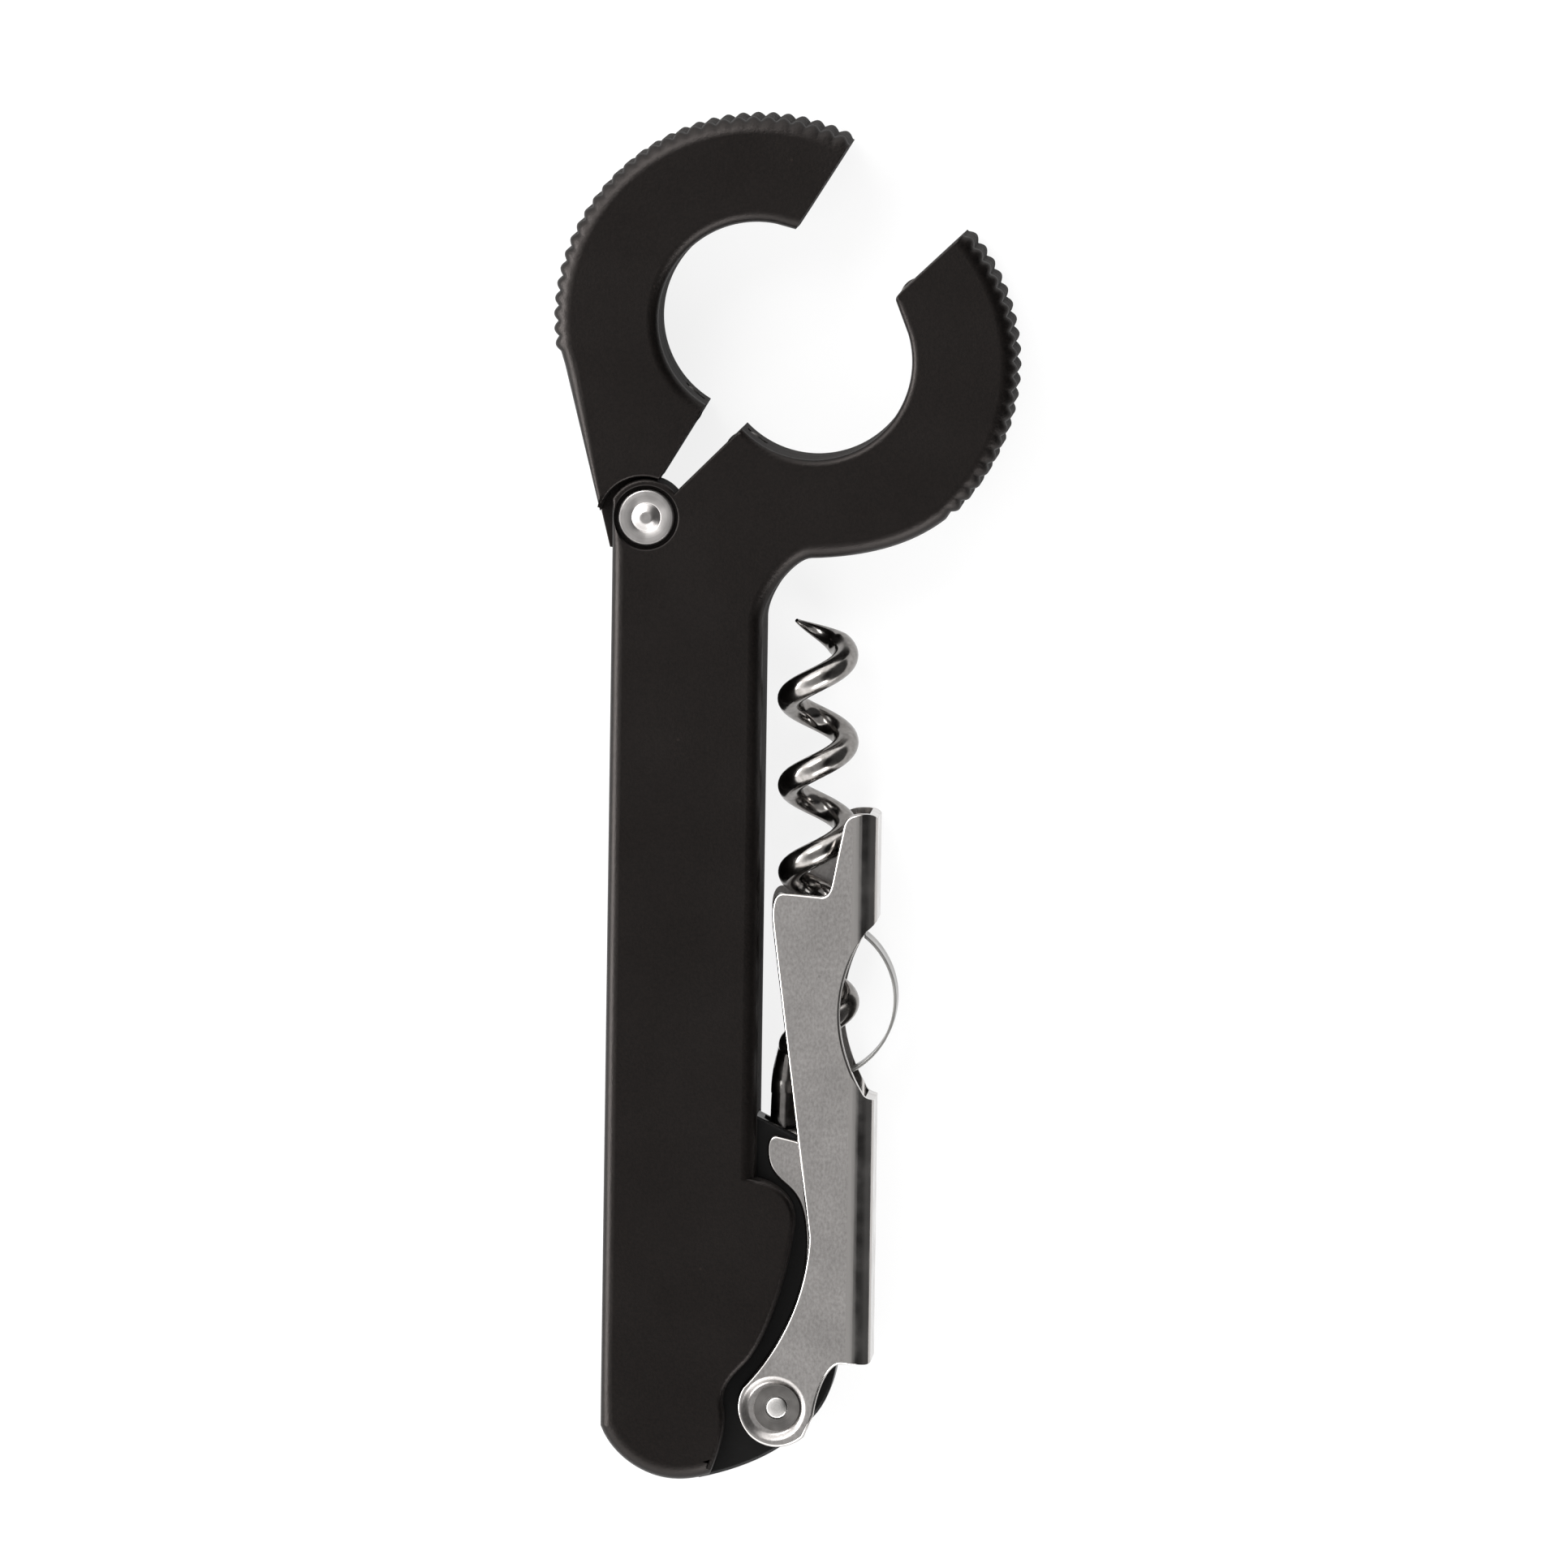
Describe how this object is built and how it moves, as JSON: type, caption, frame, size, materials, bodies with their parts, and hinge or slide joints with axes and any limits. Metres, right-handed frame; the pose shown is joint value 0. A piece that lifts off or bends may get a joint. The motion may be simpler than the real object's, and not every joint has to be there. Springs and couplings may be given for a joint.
{
  "type": "waiters corkscrew",
  "caption": "Pocket corkscrew with a folding worm, a stepped folding lever with a cap lifter, and a hinged ring-shaped foil cutter at the handle end.",
  "frame": {"origin": "on the flat back face of the handle, on the handle centre line, about midway along the handle grip", "axes": "+Y along the handle towards the foil-cutter jaws, +X towards the side where the worm and levers fold, +Z out of the front face; the part lies flat on its back face at Z = 0"},
  "size_m": [0.0544, 0.1603, 0.014],
  "materials": {
    "soft_black": "soft-touch black, finely grained",
    "inner_black": "moulded black, slightly glossier than the shells",
    "satin_steel": "satin sheet steel with polished cut edges",
    "bright_steel": "bright satin steel",
    "dark_steel": "dark hardened steel",
    "worm_steel": "polished dark chrome"
  },
  "bodies": {
    "handle": {"handle_front_shell": "soft_black", "handle_rear_shell": "soft_black", "core_frame": "inner_black", "jaw_rivet": "bright_steel", "lever_pin": "bright_steel", "worm_pin": "dark_steel", "handle_screw_1": "dark_steel", "handle_screw_2": "dark_steel", "handle_screw_3": "dark_steel", "handle_screw_4": "dark_steel", "cutter_axle_fixed_tip": "dark_steel", "cutter_axle_fixed_base": "dark_steel"},
    "moving_jaw": {"moving_jaw_front_shell": "soft_black", "moving_jaw_rear_shell": "soft_black", "jaw_screw_1": "dark_steel", "jaw_screw_2": "dark_steel", "cutter_axle_moving_tip": "dark_steel", "cutter_axle_moving_base": "dark_steel"},
    "outer_lever": {"outer_lever": "satin_steel", "bow_strip": "bright_steel", "lever_washer_front": "dark_steel", "lever_washer_rear": "dark_steel"},
    "inner_lever": {"inner_lever": "satin_steel"},
    "worm": {"worm": "worm_steel"},
    "cutter_fixed_tip": {"cutter_wheel_fixed_tip": "dark_steel"},
    "cutter_fixed_base": {"cutter_wheel_fixed_base": "dark_steel"},
    "cutter_moving_tip": {"cutter_wheel_moving_tip": "dark_steel"},
    "cutter_moving_base": {"cutter_wheel_moving_base": "dark_steel"}
  },
  "joints": [
    {"name": "jaw_hinge", "type": "hinge", "parent": "handle", "child": "moving_jaw", "pos_m": [-0.005, 0.0443, 0.007], "axis": [0, 0, 1], "range_deg": [-18, 10]},
    {"name": "lever_hinge", "type": "hinge", "parent": "handle", "child": "outer_lever", "pos_m": [0.01177, -0.06013, 0.007], "axis": [0, 0, 1], "range_deg": [-150, 0]},
    {"name": "inner_lever_hinge", "type": "hinge", "parent": "handle", "child": "inner_lever", "pos_m": [0.01177, -0.06013, 0.007], "axis": [0, 0, 1], "range_deg": [-127.5, 0]},
    {"name": "worm_hinge", "type": "hinge", "parent": "handle", "child": "worm", "pos_m": [0.0142, -0.031, 0.007], "axis": [0, 0, 1], "range_deg": [-90, 0]},
    {"name": "cutter_fixed_tip_spin", "type": "hinge", "parent": "handle", "child": "cutter_fixed_tip", "pos_m": [0.02655, 0.0702, 0.007], "axis": [0, 0, 1], "continuous": true},
    {"name": "cutter_fixed_base_spin", "type": "hinge", "parent": "handle", "child": "cutter_fixed_base", "pos_m": [0.00626, 0.05183, 0.007], "axis": [0, 0, 1], "continuous": true},
    {"name": "cutter_moving_tip_spin", "type": "hinge", "parent": "moving_jaw", "child": "cutter_moving_tip", "pos_m": [0.01079, 0.08108, 0.007], "axis": [0, 0, 1], "continuous": true},
    {"name": "cutter_moving_base_spin", "type": "hinge", "parent": "moving_jaw", "child": "cutter_moving_base", "pos_m": [-0.00123, 0.05709, 0.007], "axis": [0, 0, 1], "continuous": true}
  ],
  "couplings": [
    {"joint": "inner_lever_hinge", "follows": "lever_hinge", "ratio": 0.85},
    {"joint": "worm_hinge", "follows": "lever_hinge", "ratio": 0.6}
  ]
}
